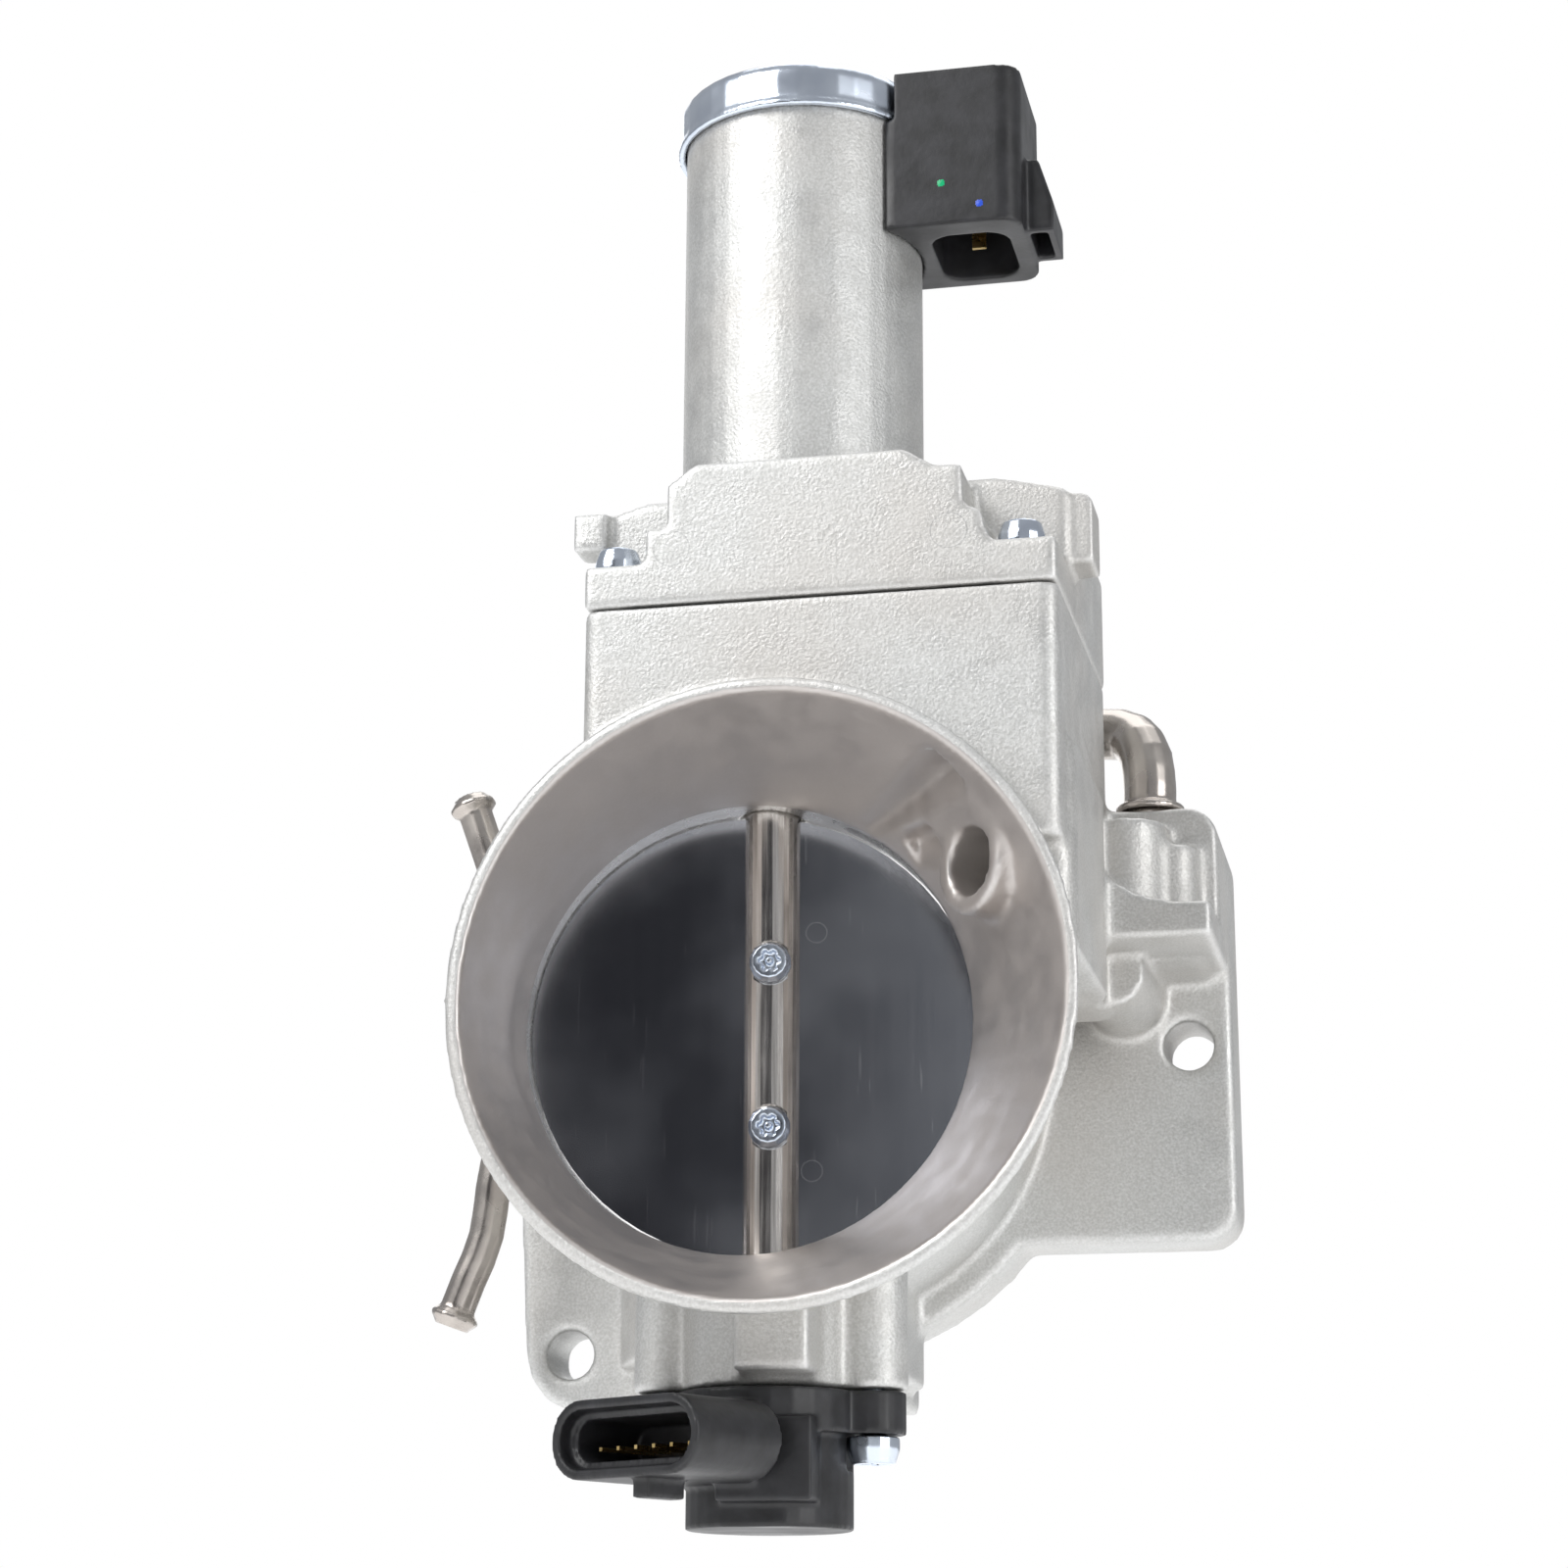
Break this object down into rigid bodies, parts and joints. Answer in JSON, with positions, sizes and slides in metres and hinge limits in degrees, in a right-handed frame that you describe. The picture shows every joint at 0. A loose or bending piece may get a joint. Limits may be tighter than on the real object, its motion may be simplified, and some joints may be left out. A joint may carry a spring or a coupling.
{
  "type": "throttle body",
  "caption": "Cast throttle body with a flared round inlet, a butterfly plate on a vertical shaft, a geared motor above, a position sensor below and side hose pipes.",
  "frame": {"origin": "centre of the air bore on the manifold mounting face", "axes": "+Y along the air flow, out of the manifold face; +Z along the throttle shaft towards the motor; +X towards the crankcase vent connection"},
  "size_m": [0.1436, 0.098, 0.2579],
  "materials": {
    "cast_aluminium": "as-cast, light grey, grainy",
    "polished_steel": "ground and polished",
    "plate_steel": "fine horizontal brushing, dark mirror",
    "zinc_plate": "bright zinc plating, bluish",
    "stainless_tube": "satin drawn tube",
    "black_plastic": "moulded, satin",
    "rubber": "moulded seal",
    "gear_nylon": "natural moulded nylon",
    "board": "coated circuit board",
    "brass": "plated contacts, bushes and pinion",
    "copper": "enamelled wire and commutator copper",
    "dark_iron": "laminated, sintered or pressed dark steel"
  },
  "bodies": {
    "housing": {"body_casting": "cast_aluminium", "gear_cover": "cast_aluminium", "gear_cover_seal": "rubber", "shaft_seal_upper": "rubber", "shaft_seal_lower": "rubber", "sensor_seal": "rubber", "cover_screw_1": "zinc_plate", "cover_screw_2": "zinc_plate", "cover_screw_3": "zinc_plate", "cover_screw_4": "zinc_plate", "motor_cap": "zinc_plate", "sensor_screw_1": "zinc_plate", "sensor_screw_2": "zinc_plate", "motor_connector": "black_plastic", "sensor_housing": "black_plastic", "brush_holder": "black_plastic", "motor_terminal_1": "brass", "motor_terminal_2": "brass", "motor_bearing_lower": "brass", "motor_bearing_upper": "brass", "sensor_terminal_1": "brass", "sensor_terminal_2": "brass", "sensor_terminal_3": "brass", "sensor_terminal_4": "brass", "sensor_terminal_5": "brass", "sensor_terminal_6": "brass", "motor_yoke": "dark_iron", "motor_magnet_1": "dark_iron", "motor_magnet_2": "dark_iron", "motor_brush_1": "dark_iron", "motor_brush_2": "dark_iron", "intermediate_pin": "polished_steel", "return_spring": "polished_steel", "shaft_bearing_upper": "polished_steel", "shaft_bearing_lower": "polished_steel", "sensor_board": "board", "vent_elbow_pipe": "stainless_tube", "coolant_nipple_upper": "stainless_tube", "coolant_pipe_lower": "stainless_tube"},
    "throttle": {"throttle_shaft": "polished_steel", "throttle_plate": "plate_steel", "plate_screw_1": "zinc_plate", "plate_screw_2": "zinc_plate", "throttle_gear": "gear_nylon", "throttle_gear_nut": "zinc_plate", "sensor_rotor": "gear_nylon"},
    "intermediate": {"intermediate_gear": "gear_nylon"},
    "armature": {"armature_shaft": "polished_steel", "armature_core": "dark_iron", "winding_lower": "copper", "winding_upper": "copper", "commutator": "copper", "motor_pinion": "brass"}
  },
  "joints": [
    {"name": "throttle_turn", "type": "hinge", "parent": "housing", "child": "throttle", "pos_m": [0.0025, -0.058, 0], "axis": [0, 0, 1], "range_deg": [0, 83], "stiffness_Nm_per_rad": 0.1},
    {"name": "intermediate_turn", "type": "hinge", "parent": "housing", "child": "intermediate", "pos_m": [0.03008, -0.06519, 0.065], "axis": [0, 0, 1], "range_deg": [-281.5, 0]},
    {"name": "motor_turn", "type": "hinge", "parent": "housing", "child": "armature", "pos_m": [0.0076, -0.058, 0.07], "axis": [0, 0, 1], "range_deg": [0, 1378]}
  ],
  "couplings": [
    {"joint": "intermediate_turn", "follows": "throttle_turn", "ratio": -3.3846},
    {"joint": "motor_turn", "follows": "throttle_turn", "ratio": 16.585}
  ]
}
